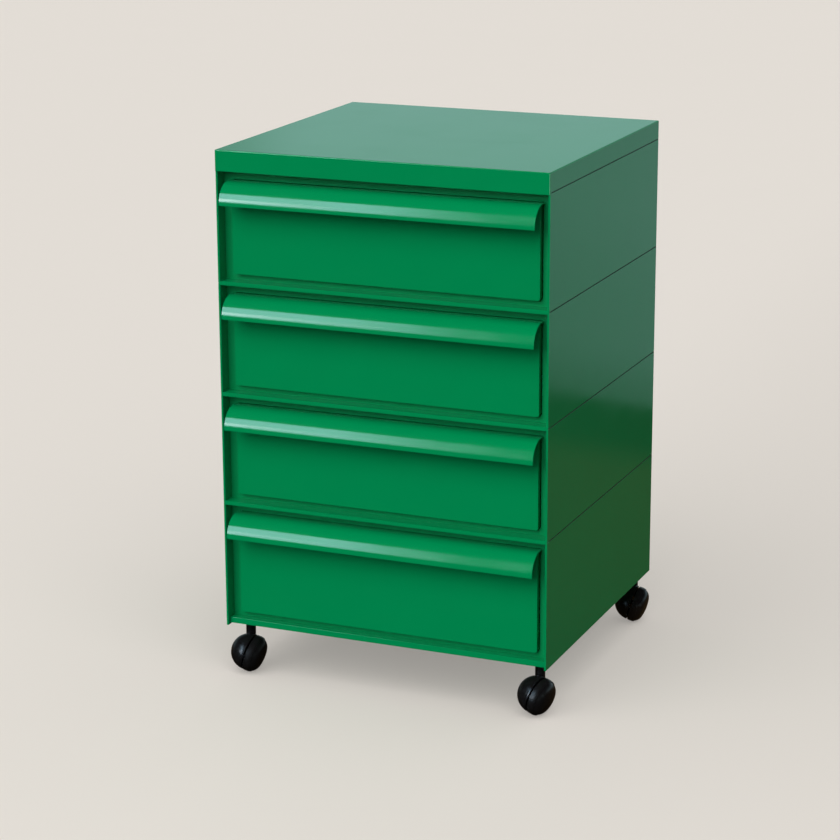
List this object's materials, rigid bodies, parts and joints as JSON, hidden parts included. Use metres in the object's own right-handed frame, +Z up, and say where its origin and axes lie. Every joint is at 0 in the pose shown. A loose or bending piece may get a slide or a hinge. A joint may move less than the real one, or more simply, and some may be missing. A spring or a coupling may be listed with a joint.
{
  "type": "drawer cabinet",
  "caption": "Low rolling drawer cabinet of stacked enamelled modules with full-width curled pulls, a flat lid slab and ball casters.",
  "frame": {"origin": "on the floor under the middle of the whole object's bounding box", "axes": "+Z up, -Y out of the drawer fronts towards the user, +X to the right of a user who faces the drawers"},
  "size_m": [0.4397, 0.4224, 0.673],
  "materials": {
    "enamel": "smooth glossy green enamel on folded sheet steel",
    "zinc": "zinc-plated steel, satin",
    "nylon": "natural nylon strip",
    "rubber": "soft black rubber",
    "caster_plastic": "moulded black plastic with a soft sheen"
  },
  "bodies": {
    "cabinet": {"top_slab": "enamel", "slab_stiffeners": "zinc", "stack_bolts": "zinc", "shell_1": "enamel", "shell_2": "enamel", "shell_3": "enamel", "shell_4": "enamel", "face_frame_1": "enamel", "face_frame_2": "enamel", "face_frame_3": "enamel", "face_frame_4": "enamel", "back_panel_1": "enamel", "back_panel_2": "enamel", "back_panel_3": "enamel", "back_panel_4": "enamel", "runners_1": "zinc", "runners_2": "zinc", "runners_3": "zinc", "runners_4": "zinc", "glide_strips": "nylon", "rear_buffers": "rubber", "base_sill": "enamel", "base_pan": "enamel", "caster_nuts": "zinc", "caster_stems": "caster_plastic"},
    "drawer_1": {"drawer_front_1": "enamel", "drawer_tray_1": "enamel", "drawer_rails_1": "zinc", "front_screws_1": "zinc"},
    "drawer_2": {"drawer_front_2": "enamel", "drawer_tray_2": "enamel", "drawer_rails_2": "zinc", "front_screws_2": "zinc"},
    "drawer_3": {"drawer_front_3": "enamel", "drawer_tray_3": "enamel", "drawer_rails_3": "zinc", "front_screws_3": "zinc"},
    "drawer_4": {"drawer_front_4": "enamel", "drawer_tray_4": "enamel", "drawer_rails_4": "zinc", "front_screws_4": "zinc"},
    "caster_fl": {"caster_hood_fl": "caster_plastic", "caster_axle_fl": "zinc"},
    "wheel_fl": {"caster_wheel_fl": "caster_plastic", "wheel_cap_fl": "caster_plastic"},
    "caster_fr": {"caster_hood_fr": "caster_plastic", "caster_axle_fr": "zinc"},
    "wheel_fr": {"caster_wheel_fr": "caster_plastic", "wheel_cap_fr": "caster_plastic"},
    "caster_bl": {"caster_hood_bl": "caster_plastic", "caster_axle_bl": "zinc"},
    "wheel_bl": {"caster_wheel_bl": "caster_plastic", "wheel_cap_bl": "caster_plastic"},
    "caster_br": {"caster_hood_br": "caster_plastic", "caster_axle_br": "zinc"},
    "wheel_br": {"caster_wheel_br": "caster_plastic", "wheel_cap_br": "caster_plastic"}
  },
  "joints": [
    {"name": "drawer_1_slide", "type": "slide", "parent": "cabinet", "child": "drawer_1", "axis": [0, -1, 0], "range_m": [0, 0.29]},
    {"name": "drawer_2_slide", "type": "slide", "parent": "cabinet", "child": "drawer_2", "axis": [0, -1, 0], "range_m": [0, 0.29]},
    {"name": "drawer_3_slide", "type": "slide", "parent": "cabinet", "child": "drawer_3", "axis": [0, -1, 0], "range_m": [0, 0.29]},
    {"name": "drawer_4_slide", "type": "slide", "parent": "cabinet", "child": "drawer_4", "axis": [0, -1, 0], "range_m": [0, 0.29]},
    {"name": "caster_fl_swivel", "type": "hinge", "parent": "cabinet", "child": "caster_fl", "pos_m": [-0.1965, -0.162, 0.05], "axis": [0, 0, 1], "continuous": true},
    {"name": "wheel_fl_roll", "type": "hinge", "parent": "caster_fl", "child": "wheel_fl", "pos_m": [-0.19367, -0.17383, 0.02515], "axis": [0.954, 0.0667, -0.2924], "continuous": true},
    {"name": "caster_fr_swivel", "type": "hinge", "parent": "cabinet", "child": "caster_fr", "pos_m": [0.1965, -0.162, 0.05], "axis": [0, 0, 1], "continuous": true},
    {"name": "wheel_fr_roll", "type": "hinge", "parent": "caster_fr", "child": "wheel_fr", "pos_m": [0.19617, -0.17416, 0.02515], "axis": [0.9387, -0.1825, -0.2924], "continuous": true},
    {"name": "caster_bl_swivel", "type": "hinge", "parent": "cabinet", "child": "caster_bl", "pos_m": [-0.1965, 0.199, 0.05], "axis": [0, 0, 1], "continuous": true},
    {"name": "wheel_bl_roll", "type": "hinge", "parent": "caster_bl", "child": "wheel_bl", "pos_m": [-0.19513, 0.18691, 0.02515], "axis": [0.955, -0.05, -0.2924], "continuous": true},
    {"name": "caster_br_swivel", "type": "hinge", "parent": "cabinet", "child": "caster_br", "pos_m": [0.1965, 0.199, 0.05], "axis": [0, 0, 1], "continuous": true},
    {"name": "wheel_br_roll", "type": "hinge", "parent": "caster_br", "child": "wheel_br", "pos_m": [0.19954, 0.18722, 0.02515], "axis": [0.9527, 0.0833, -0.2924], "continuous": true}
  ]
}
